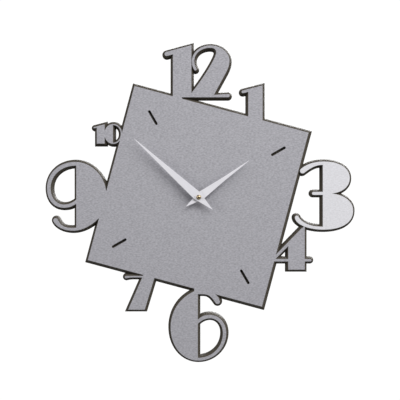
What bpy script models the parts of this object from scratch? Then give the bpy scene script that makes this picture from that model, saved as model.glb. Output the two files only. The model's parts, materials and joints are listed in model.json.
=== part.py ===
"""Wall clock: a tilted square dial with large numerals cut from the same board, on a quartz movement.

The hand axis is the origin, the wall is the plane y = 0, the dial faces -Y and twelve is up (+Z).
Every length below is in millimetres; a depth is measured from the wall towards the viewer.
"""

from math import atan, atan2, cos, hypot, pi, radians, sin, tan

import bmesh
import bpy

MM = 0.001
FACING = (pi / 2, 0.0, 0.0)

# Dial board, seen from the front.
SQUARE_SIDE = 236.3
SQUARE_CENTRE = (-0.8, 1.1)
SQUARE_TILT = -15.0
BOARD_SHIFT = (0.45, -0.45)
NUMERAL_SHIFT = (0.03, -0.02)
SQUARE_CHAMFER = 4.1
NUMERAL_CHAMFER = 3.3
CHAMFER_DEPTH = 8.5
CURVE_STEPS = 8
TICK_RADIUS = 120.5
TICK_LENGTH = 21.8
TICK_WIDTH = 3.4
TICK_DEPTH = 5.0
TICK_HOURS = (2, 5, 8, 11)

# Depths of the layers, from the wall to the front of the cap nut.
CASE_DEPTH = 16.0
CASE_SPLIT = 8.3
HANGER_BACK, HANGER_FRONT = 16.3, 17.1
RUBBER_BACK, RUBBER_FRONT = 17.4, 18.4
BOARD_BACK, POCKET_FLOOR, BOARD_FRONT = 13.9, 18.7, 25.9
FACING_BACK, FACING_FRONT = 26.1, 26.6
WASHER_BACK, WASHER_FRONT = 26.9, 27.4
NUT_BACK, NUT_FRONT = 27.7, 29.9
BUSH_FRONT = 31.0
HOUR_HAND_BACK, HOUR_HAND_FRONT = 33.0, 33.7
MINUTE_HAND_BACK, MINUTE_HAND_FRONT = 35.2, 35.9
GAP = 0.3

# Movement case.
CASE_HALF = 28.0
CASE_WALL = 1.2
CASE_CORNER = 3.0
BAY_TOP, BAY_BOTTOM = -11.8, -26.5
BAY_HALF = 26.3
RIB = 1.0

# Shafts: (x, z) of each axis in the movement.
CENTRE = (0.0, 0.0)
MOTION = (9.6, 0.0)
SETTING = (MOTION[0] + 9.6 * cos(radians(60)), 9.6 * sin(radians(60)))
THIRD = (-10.2, 0.0)
FIFTH = (10.5 * cos(radians(110)), 10.5 * sin(radians(110)))
ROTOR = (FIFTH[0] + 7.2 * cos(radians(150)), FIFTH[1] + 7.2 * sin(radians(150)))
BATTERY = (-0.9, -19.2)

# Layers of the wheels in the movement: back and front depth.
SECONDS_LAYER = (3.0, 3.8)
FIFTH_LAYER = (5.0, 5.8)
THIRD_LAYER = (6.6, 7.4)
CENTRE_LAYER = (8.2, 9.0)
MOTION_LAYER = (10.0, 10.8)
HOUR_LAYER = (11.8, 12.6)

# Fine wheels have small teeth; the motion work behind the dial has larger ones.
FINE_MODULE = 0.3
THIRD_MODULE = 20.4 / 72
MOTION_MODULE = 0.4
HOUR_MODULE = 19.2 / 50

# Hands: (distance along the hand, width) from the tip to the tail, and the clock angle.
HOUR_STATIONS = [(81.0, 0.5), (40.0, 4.9), (2.8, 11.2), (-20.5, 0.5)]
HOUR_ANGLE = 53.9
MINUTE_STATIONS = [(113.0, 0.5), (2.8, 11.7), (-23.8, 0.5)]
MINUTE_ANGLE = 312.1

# Outlines of the strokes, in the plane of the dial. (x, z) is a straight line, (x, z, bulge) an arc
# whose bulge is the tangent of a quarter of its angle, and six numbers a cubic curve.
TWELVE_ONE = [
    (-34.0, 120.0), (-22.0, 120.0), (-22.0, 131.0), (-9.7, 131.0), (-9.7, 199.5),
    (-42.9, 190.4), (-41.5, 185.2, 1), (-34.0, 187.4),
]
TWELVE_TWO = [
    (-15.0, 131.0), (38.4, 131.0), (38.2, 135.3, 1), (19.8, 134.2), (33.8, 160.0),
    (38.0, 167.5, 40.2, 173.0, 40.2, 179.0),
    (40.2, 190.5, 28.0, 199.0, 15.5, 199.0),
    (2.0, 199.0, -9.1, 190.0, -9.1, 178.5),
    (-9.1, 174.0, -8.2, 171.0, -6.4, 167.8),
    (-2.8, 168.2, 1),
    (-5.0, 171.6, -5.9, 175.5, -5.9, 179.0),
    (-5.9, 189.0, 4.0, 195.8, 14.5, 195.8),
    (20.0, 195.8, 22.8, 193.8, 22.8, 189.8),
    (22.8, 184.0, 9.0, 160.0, -9.7, 136.5),
    (-13.0, 133.5),
]
ONE = [
    (64.8, 100.0), (83.6, 95.0), (83.6, 146.7), (57.4, 139.9), (58.4, 136.4, 1), (64.8, 138.1),
]
THREE_UPPER = [
    (162.6, 5.8), (164.5, 4.6), (170.0, 4.6),
    (187.0, 4.8, 197.9, 13.0, 197.9, 25.0),
    (197.9, 40.0, 182.0, 46.8, 164.0, 46.8),
    (152.0, 46.8, 141.5, 43.5, 134.4, 37.5),
    (137.8, 31.6, 1),
    (145.0, 37.0, 152.0, 42.4, 162.6, 42.4),
]
THREE_LOWER = [
    (162.6, 3.8), (162.6, -38.6),
    (150.0, -38.6, 137.5, -36.0, 131.0, -26.2),
    (126.0, -27.0, 1),
    (127.0, -36.0, 144.0, -42.6, 163.0, -42.6),
    (187.0, -42.6, 202.3, -34.0, 202.3, -17.5),
    (202.3, -3.0, 186.0, 5.0, 170.0, 5.0),
    (164.5, 5.0),
]
THREE_STUB = [(171.0, 7.0), (150.4, 7.0), (150.4, 3.0, 1), (171.0, 3.0)]
FOUR_STEM = [(117.2, -95.0), (138.9, -95.0), (138.9, -38.5), (137.5, -38.5), (117.2, -61.5)]
FOUR_DIAGONAL = [(96.0, -80.6), (135.6, -39.9), (138.4, -42.7), (94.5, -87.0)]
FOUR_BAR = [(92.0, -81.0), (92.0, -84.3), (146.2, -84.3), (146.2, -81.2, 1), (139.0, -81.0)]
SIX_BODY = [
    (-1.3, -160.3), (4.6, -156.2),
    (7.5, -154.9, 10.5, -154.3, 14.0, -154.3),
    (27.0, -154.3, 36.0, -165.0, 36.0, -178.5),
    (36.0, -198.0, 20.0, -214.3, -0.5, -214.3),
    (-21.0, -214.3, -37.0, -196.0, -37.0, -171.0),
    (-37.0, -149.2, -24.6, -129.8, -1.3, -121.5),
]
SIX_COUNTER = [
    (-1.3, -165.9), (-1.3, -210.7),
    (17.0, -210.7, 31.5, -197.0, 31.5, -178.8),
    (31.5, -167.0, 24.5, -158.8, 14.5, -158.8),
    (8.0, -158.8, 3.0, -162.0, -1.3, -165.9),
]
SIX_HOOK = [
    (-6.0, -127.2), (5.0, -127.2),
    (13.0, -127.2, 16.5, -130.5, 22.0, -138.6),
    (27.2, -135.7, 1),
    (26.5, -132.0, 24.0, -129.0, 18.5, -125.0),
    (14.0, -115.0), (-6.0, -115.0),
]
SEVEN_STEM = [(-92.6, -147.5), (-70.9, -147.5), (-56.4, -100.0), (-71.8, -100.0)]
SEVEN_BAR = [
    (-66.0, -103.2), (-95.6, -103.2), (-95.2, -106.4, 1),
    (-92.0, -105.5, -89.0, -105.2, -84.0, -105.2),
    (-66.0, -105.4),
]
NINE_BODY = [
    (-160.7, -8.8), (-166.8, -12.0),
    (-170.0, -13.3, -173.0, -13.9, -177.0, -13.9),
    (-190.0, -13.9, -199.0, -4.0, -199.0, 12.0),
    (-199.0, 31.0, -184.0, 46.3, -162.0, 46.3),
    (-141.0, 46.3, -123.6, 28.0, -121.9, 8.8),
    (-112.0, 8.8), (-118.0, -17.0), (-132.0, -28.4),
    (-141.0, -37.5, -153.0, -44.0, -165.0, -44.0),
    (-178.0, -44.0, -188.0, -38.0, -190.6, -31.3),
    (-185.1, -29.4, -1),
    (-181.5, -36.0, -177.5, -40.0, -168.0, -40.1),
    (-160.7, -40.1),
]
NINE_COUNTER = [
    (-160.7, 41.4), (-160.7, -3.3),
    (-165.5, -7.0, -170.0, -9.6, -176.5, -9.6),
    (-187.0, -9.6, -194.3, -1.0, -194.3, 12.0),
    (-194.3, 28.0, -181.0, 41.4, -160.7, 41.4),
]
TEN_ONE = [(-133.8, 70.3), (-123.5, 70.3), (-123.5, 95.6), (-133.8, 92.9)]
TEN_SERIF = [(-129.0, 94.1), (-137.4, 92.0), (-137.0, 90.3, 1), (-129.0, 92.3)]
TEN_ZERO = [
    (-100.6, 83.0),
    (-100.6, 90.2, -105.8, 96.1, -112.2, 96.1),
    (-118.6, 96.1, -123.9, 90.2, -123.9, 83.0),
    (-123.9, 75.8, -118.6, 69.9, -112.2, 69.9),
    (-105.8, 69.9, -100.6, 75.8, -100.6, 83.0),
]
TEN_COUNTER = [
    (-112.6, 71.4), (-112.6, 94.6),
    (-106.5, 94.6, -102.4, 89.5, -102.4, 83.0),
    (-102.4, 76.5, -106.5, 71.4, -112.6, 71.4),
]
GREY_STROKES = {
    "twelve_one": [TWELVE_ONE],
    "twelve_two": [TWELVE_TWO],
    "one": [ONE],
    "four_stem": [FOUR_STEM],
    "four_diagonal": [FOUR_DIAGONAL],
    "four_bar": [FOUR_BAR],
    "six": [SIX_BODY, SIX_COUNTER],
    "six_hook": [SIX_HOOK],
    "seven_stem": [SEVEN_STEM],
    "seven_bar": [SEVEN_BAR],
    "nine": [NINE_BODY, NINE_COUNTER],
    "ten_one": [TEN_ONE],
    "ten_serif": [TEN_SERIF],
    "ten_zero": [TEN_ZERO, TEN_COUNTER],
}
PALE_STROKES = {
    "three_upper": [THREE_UPPER],
    "three_lower": [THREE_LOWER],
    "three_stub": [THREE_STUB],
}
COARSE_CURVES = {"ten_zero": 5}


def cleared_scene():
    for old in list(bpy.data.objects):
        bpy.data.objects.remove(old, do_unlink=True)
    parts = bpy.data.collections.new("wall_clock")
    bpy.context.scene.collection.children.link(parts)
    cutters = bpy.data.collections.new("cutters")
    cutters.hide_render = True
    bpy.context.scene.collection.children.link(cutters)
    return parts, cutters


PARTS, CUTTERS = cleared_scene()


def material(name, colour, roughness, metallic=0.0):
    found = bpy.data.materials.new(name)
    found.use_nodes = True
    shader = found.node_tree.nodes["Principled BSDF"]
    shader.inputs["Base Color"].default_value = (*colour, 1.0)
    shader.inputs["Roughness"].default_value = roughness
    shader.inputs["Metallic"].default_value = metallic
    found.diffuse_color = (*colour, 1.0)
    return found


# Outlines.


def arc_points(start, end, bulge, steps):
    """The points after the start of an arc; a positive bulge turns anticlockwise."""
    turn = 4 * atan(bulge)
    chord = hypot(end[0] - start[0], end[1] - start[1])
    radius = chord / (2 * sin(abs(turn) / 2))
    side = 1 if bulge > 0 else -1
    along = ((end[0] - start[0]) / chord, (end[1] - start[1]) / chord)
    reach = side * radius * cos(abs(turn) / 2)
    centre = (
        (start[0] + end[0]) / 2 - along[1] * reach,
        (start[1] + end[1]) / 2 + along[0] * reach,
    )
    first = atan2(start[1] - centre[1], start[0] - centre[0])
    count = max(2, round(steps * abs(turn) / pi))
    angles = [first + turn * i / count for i in range(1, count + 1)]
    return [(centre[0] + radius * cos(a), centre[1] + radius * sin(a)) for a in angles]


def cubic_points(start, bend, steps):
    """The points after the start of a cubic curve through two control points."""
    first, second, end = bend[0:2], bend[2:4], bend[4:6]
    points = []
    for i in range(1, steps + 1):
        t = i / steps
        s = 1 - t
        weights = (s**3, 3 * s * s * t, 3 * s * t * t, t**3)
        corners = (start, first, second, end)
        points.append(tuple(sum(w * c[k] for w, c in zip(weights, corners)) for k in (0, 1)))
    return points


def outline(path, steps=CURVE_STEPS):
    points = [path[0]]
    for move in path[1:]:
        if len(move) == 2:
            points.append(move)
        elif len(move) == 3:
            points += arc_points(points[-1], move[:2], move[2], steps)
        else:
            points += cubic_points(points[-1], move, steps)
    if hypot(points[0][0] - points[-1][0], points[0][1] - points[-1][1]) < 1e-6:
        points.pop()
    return points


def area(points):
    pairs = zip(points[-1:] + points[:-1], points)
    return sum(a[0] * b[1] - b[0] * a[1] for a, b in pairs) / 2


def wound(loops):
    """The first loop anticlockwise and the holes clockwise."""
    turned = []
    for index, points in enumerate(loops):
        wanted = 1 if index == 0 else -1
        turned.append(points if area(points) * wanted > 0 else points[::-1])
    return turned


def circle(radius, count=24, at=(0.0, 0.0)):
    angles = [2 * pi * i / count for i in range(count)]
    return [(at[0] + radius * cos(a), at[1] + radius * sin(a)) for a in angles]


def rectangle(x0, z0, x1, z1):
    return [(x0, z0), (x1, z0), (x1, z1), (x0, z1)]


def rounded_rectangle(x0, z0, x1, z1, radius, steps=8):
    quarter = tan(pi / 8)
    return outline(
        [
            (x0 + radius, z0), (x1 - radius, z0), (x1, z0 + radius, quarter),
            (x1, z1 - radius), (x1 - radius, z1, quarter),
            (x0 + radius, z1), (x0, z1 - radius, quarter),
            (x0, z0 + radius), (x0 + radius, z0, quarter),
        ],
        steps,
    )


def slot(length, width, steps=8):
    straight = (length - width) / 2
    half = width / 2
    return outline(
        [(-half, -straight), (half, -straight, 1), (half, straight), (-half, straight, 1)], steps
    )


def turned_points(points, degrees, at=(0.0, 0.0)):
    a = radians(degrees)
    return [(at[0] + x * cos(a) - z * sin(a), at[1] + x * sin(a) + z * cos(a)) for x, z in points]


def square_outline():
    half = SQUARE_SIDE / 2
    return turned_points(rectangle(-half, -half, half, half), SQUARE_TILT, SQUARE_CENTRE)


def gear_outline(teeth, module, middle):
    """Straight-sided teeth; one tooth stands at the angle `middle`, in degrees."""
    pitch = 2 * pi / teeth
    root = module * teeth / 2 - 1.25 * module
    tip = module * teeth / 2 + 0.85 * module
    points = []
    for i in range(teeth):
        at = radians(middle) + pitch * i
        for share, radius in ((-0.3, root), (-0.12, tip), (0.12, tip), (0.3, root)):
            points.append((radius * cos(at + share * pitch), radius * sin(at + share * pitch)))
    return points


def half_tooth(teeth, direction):
    """The angle for a gear that shows a gap in the given direction."""
    return direction + 180.0 / teeth


# Solids.


def flat_mesh(name, loops, back, front, chamfer=0.0, slope=1.0, grow=0.0):
    """A slab with the given outline; a chamfer widens it behind its front face."""
    curve = bpy.data.curves.new(name, "CURVE")
    curve.dimensions = "2D"
    curve.fill_mode = "BOTH"
    curve.extrude = MM * ((front - back) / 2 / slope - chamfer)
    curve.bevel_depth = MM * chamfer
    curve.bevel_resolution = 0
    curve.offset = MM * grow
    for points in wound(loops):
        spline = curve.splines.new("POLY")
        spline.points.add(len(points) - 1)
        for knot, (x, z) in zip(spline.points, points):
            knot.co = (MM * x, MM * z, 0.0, 1.0)
        spline.use_cyclic_u = True
    guide = bpy.data.objects.new(name + "_guide", curve)
    CUTTERS.objects.link(guide)
    graph = bpy.context.evaluated_depsgraph_get()
    mesh = bpy.data.meshes.new_from_object(guide.evaluated_get(graph))
    bpy.data.objects.remove(guide, do_unlink=True)
    for vertex in mesh.vertices:
        vertex.co.z = vertex.co.z * slope + MM * (front + back) / 2
    weld(mesh)
    return mesh


def weld(mesh):
    body = bmesh.new()
    body.from_mesh(mesh)
    bmesh.ops.remove_doubles(body, verts=body.verts, dist=1e-6)
    bmesh.ops.recalc_face_normals(body, faces=body.faces)
    body.to_mesh(mesh)
    body.free()


def placed(name, mesh, at=CENTRE, stuff=None):
    made = bpy.data.objects.new(name, mesh)
    made.rotation_euler = FACING
    made.location = (MM * at[0], 0.0, MM * at[1])
    if stuff:
        mesh.materials.clear()
        mesh.materials.append(stuff)
        PARTS.objects.link(made)
    else:
        made.hide_render = True
        made.display_type = "WIRE"
        CUTTERS.objects.link(made)
    return made


def slab(name, loops, back, front, at=CENTRE, stuff=None, **more):
    return placed(name, flat_mesh(name, loops, back, front, **more), at, stuff)


def turned(name, profile, at=CENTRE, stuff=None, steps=24):
    """A turned piece; the profile is (radius, depth) from the front to the back."""
    mesh = bpy.data.meshes.new(name)
    points = [(MM * radius, 0.0, MM * depth) for radius, depth in profile]
    mesh.from_pydata(points, [(i, i + 1) for i in range(len(points) - 1)], [])
    made = placed(name, mesh, at, stuff)
    screw = made.modifiers.new("turning", "SCREW")
    screw.axis = "Z"
    screw.steps = steps
    screw.render_steps = steps
    screw.use_merge_vertices = True
    screw.merge_threshold = 0.00001
    return made


def combine(target, operation, tools):
    for tool in tools:
        change = target.modifiers.new(tool.name, "BOOLEAN")
        change.operation = operation
        change.solver = "EXACT"
        change.object = tool


def combine_all(target, operation, group):
    change = target.modifiers.new(group.name, "BOOLEAN")
    change.operation = operation
    change.solver = "EXACT"
    change.operand_type = "COLLECTION"
    change.collection = group


def box(name, x0, x1, z0, z1, back, front, stuff=None):
    return slab(name, [rectangle(x0, z0, x1, z1)], back, front, stuff=stuff)


# Dial.


def stroke_loops(paths, name):
    steps = COARSE_CURVES.get(name, CURVE_STEPS)
    return [outline(path, steps) for path in paths]


def stroke_group(name, strokes, back, front, **more):
    group = bpy.data.collections.new(name)
    group.hide_render = True
    CUTTERS.children.link(group)
    for key, paths in strokes.items():
        tool = slab(f"{name}_{key}", stroke_loops(paths, key), back, front, **more)
        CUTTERS.objects.unlink(tool)
        group.objects.link(tool)
    return group


def tick_tools(name, back, front):
    tools = []
    for hour in TICK_HOURS:
        angle = radians(30 * hour)
        at = (TICK_RADIUS * sin(angle), TICK_RADIUS * cos(angle))
        loop = turned_points(slot(TICK_LENGTH, TICK_WIDTH), -30 * hour)
        tools.append(slab(f"{name}_{hour}", [loop], back, front, at))
    return tools


POCKET = rounded_rectangle(-34.0, -34.0, 34.0, 50.0, 6.0)


def dial():
    wood = material("stained_fibreboard", (0.045, 0.038, 0.03), 0.55)
    grey = material("grey_laminate", (0.36, 0.36, 0.39), 0.6)
    pale = material("pale_laminate", (0.63, 0.63, 0.66), 0.55)
    deep = BOARD_FRONT - 2.6 * CHAMFER_DEPTH
    wide = {"chamfer": SQUARE_CHAMFER, "slope": CHAMFER_DEPTH / SQUARE_CHAMFER}
    narrow = {"chamfer": NUMERAL_CHAMFER, "slope": CHAMFER_DEPTH / NUMERAL_CHAMFER}
    # The facing sits slightly up and left on its board, so more of the board shows below and at right.
    under_facing = [[(x + BOARD_SHIFT[0], z + BOARD_SHIFT[1]) for x, z in square_outline()]]
    board = slab("dial_board", under_facing, deep, BOARD_FRONT, stuff=wood, **wide)
    board_strokes = [
        stroke_group("board_grey", GREY_STROKES, deep, BOARD_FRONT, at=NUMERAL_SHIFT, **narrow),
        stroke_group("board_pale", PALE_STROKES, deep, BOARD_FRONT, at=NUMERAL_SHIFT, **narrow),
    ]
    behind = box("behind_board", -260, 260, -260, 260, deep - 5, BOARD_BACK)
    pocket = slab("movement_pocket", [POCKET], BOARD_BACK - 5, POCKET_FLOOR)
    hole = slab("board_hole", [circle(4.4)], BOARD_BACK - 5, BOARD_FRONT + 5)
    tick_slots = tick_tools("board_tick", BOARD_FRONT - TICK_DEPTH, BOARD_FRONT + 5)
    board_cuts = [behind, pocket, hole, *tick_slots]

    sheet = slab("dial_facing", [square_outline()], FACING_BACK, FACING_FRONT, stuff=grey)
    sheet_strokes = stroke_group("sheet_grey", GREY_STROKES, FACING_BACK, FACING_FRONT)
    sheet_cuts = [slab("sheet_hole", [circle(4.4)], FACING_BACK - 2, FACING_FRONT + 2)]
    sheet_cuts += tick_tools("sheet_tick", FACING_BACK - 2, FACING_FRONT + 2)
    for key, paths in PALE_STROKES.items():
        loops = stroke_loops(paths, key)
        sheet_cuts.append(
            slab(f"clear_{key}", loops, FACING_BACK - 2, FACING_FRONT + 2, grow=0.25)
        )

    three = slab(
        "numeral_three_facing", stroke_loops([THREE_LOWER], "three_lower"),
        FACING_BACK, FACING_FRONT, stuff=pale,
    )
    rest = {key: PALE_STROKES[key] for key in ("three_upper", "three_stub")}
    rest_strokes = stroke_group("sheet_pale", rest, FACING_BACK, FACING_FRONT)

    for strokes in board_strokes:
        combine_all(board, "UNION", strokes)
    combine(board, "DIFFERENCE", board_cuts)
    combine_all(sheet, "UNION", sheet_strokes)
    combine(sheet, "DIFFERENCE", sheet_cuts)
    combine_all(three, "UNION", rest_strokes)


# Fixing through the dial, and the hanger.


def fixings():
    brass = material("brass", (0.62, 0.46, 0.2), 0.3, 1.0)
    steel = material("zinc_plated_steel", (0.55, 0.56, 0.57), 0.35, 1.0)
    rubber = material("black_rubber", (0.02, 0.02, 0.02), 0.8)
    turned(
        "threaded_bush",
        [
            (2.8, BUSH_FRONT), (3.6, BUSH_FRONT), (3.95, BUSH_FRONT - 0.4), (3.95, 14.5),
            (6.0, 14.5), (6.0, 13.4), (2.8, 13.4), (2.8, BUSH_FRONT),
        ],
        stuff=brass,
    )
    slab("rubber_washer", [circle(9.0), circle(4.4)], RUBBER_BACK, RUBBER_FRONT, stuff=rubber)
    slab("dial_washer", [circle(5.7), circle(4.25)], WASHER_BACK, WASHER_FRONT, stuff=brass)
    slab("fixing_nut", [circle(5.6, 6), circle(4.25)], NUT_BACK, NUT_FRONT, stuff=brass)
    plate = outline(
        [
            (-13.0, -13.0), (13.0, -13.0), (13.0, 18.0), (9.0, 40.0),
            (5.0, 44.0, tan(pi / 8)), (-5.0, 44.0), (-9.0, 40.0, tan(pi / 8)), (-13.0, 18.0),
        ],
        8,
    )
    hanger = slab(
        "hanger_plate", [plate, circle(4.4)], HANGER_BACK, HANGER_FRONT, stuff=steel
    )
    keyhole = [
        slab("hook_head_hole", [circle(4.0, 24)], HANGER_BACK - 2, HANGER_FRONT + 2, at=(0.0, 31.0)),
        slab("hook_slot", [slot(10.0, 4.2)], HANGER_BACK - 2, HANGER_FRONT + 2, at=(0.0, 35.5)),
    ]
    combine(hanger, "DIFFERENCE", keyhole)


# Hands.


def hand_outline(stations):
    left = [(-width / 2, along) for along, width in stations]
    right = [(width / 2, along) for along, width in reversed(stations)]
    return left + right


def hands():
    silver = material("silver_hands", (0.66, 0.65, 0.68), 0.4, 0.3)
    brass = bpy.data.materials["brass"]
    hour = turned_points(hand_outline(HOUR_STATIONS), -HOUR_ANGLE)
    minute = turned_points(hand_outline(MINUTE_STATIONS), -MINUTE_ANGLE)
    slab("hour_hand", [hour, circle(3.3)], HOUR_HAND_BACK, HOUR_HAND_FRONT, stuff=silver)
    slab("minute_hand", [minute, circle(1.7)], MINUTE_HAND_BACK, MINUTE_HAND_FRONT, stuff=silver)
    turned(
        "hour_hand_collet",
        [
            (2.65, 34.1), (3.05, 34.1), (3.05, HOUR_HAND_BACK - GAP), (3.9, HOUR_HAND_BACK - GAP),
            (3.9, 31.4), (2.65, 31.4), (2.65, 34.1),
        ],
        stuff=brass,
    )
    slab("minute_hand_collar", [circle(2.9, 24), circle(1.7, 24)], 34.4, 34.9, stuff=brass)
    turned(
        "cap_nut",
        [
            (0.0, 39.3), (1.2, 39.1), (2.2, 38.5), (2.9, 37.6), (3.1, 36.9),
            (3.1, 36.2), (1.6, 36.2), (1.6, 38.0), (0.0, 38.0),
        ],
        stuff=brass,
    )


# Movement.


def case():
    plastic = material("black_abs", (0.025, 0.025, 0.027), 0.5)
    size = (-CASE_HALF, -CASE_HALF, CASE_HALF, CASE_HALF, CASE_CORNER)
    inner = CASE_HALF - CASE_WALL
    hollow = (-inner, -inner, inner, inner, CASE_CORNER - CASE_WALL)
    front = slab(
        "movement_case_front", [rounded_rectangle(*size)], CASE_SPLIT + GAP, CASE_DEPTH, stuff=plastic
    )
    front_hollow = slab(
        "front_hollow", [rounded_rectangle(*hollow)], 2.0, CASE_DEPTH - CASE_WALL
    )
    front_hole = slab("front_hole", [circle(4.3)], 2.0, CASE_DEPTH + 5)
    combine(front, "DIFFERENCE", [front_hollow, front_hole])

    back = slab("movement_case_back", [rounded_rectangle(*size)], 0.0, CASE_SPLIT, stuff=plastic)
    back_hollow = slab("back_hollow", [rounded_rectangle(*hollow)], CASE_WALL, CASE_SPLIT + 5)
    rib = box("bay_rib", -inner - 0.5, inner + 0.5, BAY_TOP, BAY_TOP + RIB, 0.5, CASE_SPLIT - 0.2)
    bay = box("bay_opening", -BAY_HALF, BAY_HALF, BAY_BOTTOM, BAY_TOP - 0.2, -2.0, CASE_WALL + 2)
    knob_hole = slab("knob_hole", [circle(6.4)], -2.0, CASE_WALL + 2, at=SETTING)
    combine(back, "DIFFERENCE", [back_hollow])
    combine(back, "UNION", [rib])
    combine(back, "DIFFERENCE", [bay, knob_hole])


def wheel(name, at, rings, bore=None, stuff=None):
    """One solid of stacked flat pieces, each (outline, back, front), with a bore through all."""
    loop, back, front = rings[0]
    body = slab(name, [loop], back, front, at, stuff)
    tools = [
        slab(f"{name}_{i}", [loop], back, front, at) for i, (loop, back, front) in enumerate(rings[1:])
    ]
    combine(body, "UNION", tools)
    if bore:
        combine(body, "DIFFERENCE", [slab(f"{name}_bore", [circle(bore, 20)], -5.0, 60.0, at)])
    return body


def pin(back, front, radius=0.5):
    return (circle(radius, 12), back, front)


def train():
    acetal = material("white_acetal", (0.8, 0.79, 0.75), 0.45)
    dark = material("dark_acetal", (0.09, 0.09, 0.1), 0.45)
    steel = bpy.data.materials["zinc_plated_steel"]
    to_third, to_fifth, to_rotor, to_setting = 180.0, 110.0, 150.0, 60.0

    seconds = gear_outline(60, FINE_MODULE, to_fifth)
    wheel(
        "seconds_wheel", CENTRE,
        [
            (seconds, *SECONDS_LAYER),
            (gear_outline(8, THIRD_MODULE, to_third), 3.4, THIRD_LAYER[1]), pin(1.6, 8.0),
        ],
        stuff=acetal,
    )
    fifth = gear_outline(40, FINE_MODULE, to_rotor)
    wheel(
        "fifth_wheel", FIFTH,
        [
            (fifth, *FIFTH_LAYER),
            (gear_outline(10, FINE_MODULE, half_tooth(10, to_fifth + 180)), 2.8, 5.4), pin(1.6, 6.3),
        ],
        stuff=dark,
    )
    third = gear_outline(64, THIRD_MODULE, half_tooth(64, to_third + 180))
    wheel(
        "third_wheel", THIRD,
        [
            (third, *THIRD_LAYER),
            (gear_outline(8, FINE_MODULE, 0.0), 7.0, CENTRE_LAYER[1] + 0.1), pin(1.6, 9.6),
        ],
        stuff=acetal,
    )
    centre = gear_outline(60, FINE_MODULE, half_tooth(60, to_third))
    wheel("centre_wheel", CENTRE, [(centre, *CENTRE_LAYER)], bore=1.3, stuff=acetal)
    turned(
        "clutch_spring",
        [(1.3, 9.7), (2.6, 9.7), (3.4, 9.4), (3.4, 9.25), (2.6, 9.45), (1.3, 9.45), (1.3, 9.7)],
        stuff=steel, steps=20,
    )
    cannon = gear_outline(12, MOTION_MODULE, 0.0)
    wheel(
        "minute_arbor", CENTRE,
        [
            (cannon, *MOTION_LAYER), (circle(1.0, 20), 8.25, 10.4),
            (circle(1.4, 20), 10.4, 37.6),
        ],
        stuff=steel,
    )
    motion = gear_outline(36, MOTION_MODULE, half_tooth(36, 180.0))
    wheel(
        "motion_wheel", MOTION,
        [
            (motion, *MOTION_LAYER),
            (gear_outline(10, HOUR_MODULE, 180.0), 10.4, HOUR_LAYER[1] + 0.1), pin(9.2, 14.3),
        ],
        stuff=acetal,
    )
    hour = gear_outline(40, HOUR_MODULE, half_tooth(40, 0.0))
    wheel(
        "hour_wheel", CENTRE,
        [(hour, *HOUR_LAYER), (circle(2.45, 24), 12.2, 33.9)], bore=1.75, stuff=acetal,
    )
    motion_gap = 180.0 / 36 + 180.0
    setting_tooth = to_setting + 180.0 + mesh_phase(36, motion_gap, to_setting, 12)
    wheel(
        "setting_pinion", SETTING,
        [(gear_outline(12, MOTION_MODULE, setting_tooth), *MOTION_LAYER), (circle(1.2, 20), 3.2, 10.4)],
        stuff=dark,
    )
    grip = [
        ((5.6 + 0.35 * (i % 2)) * cos(2 * pi * i / 40), (5.6 + 0.35 * (i % 2)) * sin(2 * pi * i / 40))
        for i in range(40)
    ]
    slab("setting_knob", [grip], 0.4, 2.8, at=SETTING, stuff=dark)


def mesh_phase(teeth, tooth_at, direction, other_teeth):
    """How far the meeting gear's first tooth stands from the line of centres, in degrees."""
    pitch = 360.0 / teeth
    past = ((direction - tooth_at) / pitch) % 1.0
    return (0.5 + past) % 1.0 * 360.0 / other_teeth


def motor():
    steel = bpy.data.materials["zinc_plated_steel"]
    dark = bpy.data.materials["dark_acetal"]
    ferrite = material("ferrite", (0.05, 0.05, 0.055), 0.4)
    copper = material("enamelled_copper", (0.55, 0.22, 0.09), 0.35, 1.0)
    plastic = material("amber_nylon", (0.75, 0.68, 0.5), 0.5)
    fifth_tooth = 150.0
    rotor_gap = half_tooth(8, fifth_tooth + 180.0)
    wheel(
        "rotor_pinion", ROTOR,
        [(gear_outline(8, FINE_MODULE, rotor_gap), 4.8, 6.0), pin(1.6, 14.0)], stuff=dark,
    )
    slab("rotor_magnet", [circle(3.0, 24), circle(0.75, 12)], 9.3, 10.9, at=ROTOR, stuff=ferrite)
    frame = [
        (-25.5, 8.8), (7.5, 8.8), (7.5, 25.6), (4.6, 25.6),
        (4.6, 17.6), (-22.6, 17.6), (-22.6, 25.6), (-25.5, 25.6),
    ]
    slab("stator_plate", [frame, circle(3.6, 24, ROTOR)], 9.6, 10.6, stuff=steel)
    box("coil_core", -25.3, 7.3, 21.6, 24.6, 10.9, 11.9, steel)
    barrel = box("coil_bobbin", -21.9, 3.9, 20.9, 25.3, 10.2, 12.6, plastic)
    flanges = [
        box("flange_left", -22.2, -21.2, 19.6, 26.5, 8.3, 14.5),
        box("flange_right", 3.2, 4.2, 19.6, 26.5, 8.3, 14.5),
    ]
    combine(barrel, "UNION", flanges)
    combine(barrel, "DIFFERENCE", [box("core_way", -30, 12, 21.3, 24.9, 10.6, 12.2)])
    winding = box("coil_winding", -20.9, 2.9, 19.9, 26.2, 8.8, 14.0, copper)
    combine(winding, "DIFFERENCE", [box("barrel_way", -30, 12, 20.6, 25.6, 9.9, 12.9)])


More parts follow.
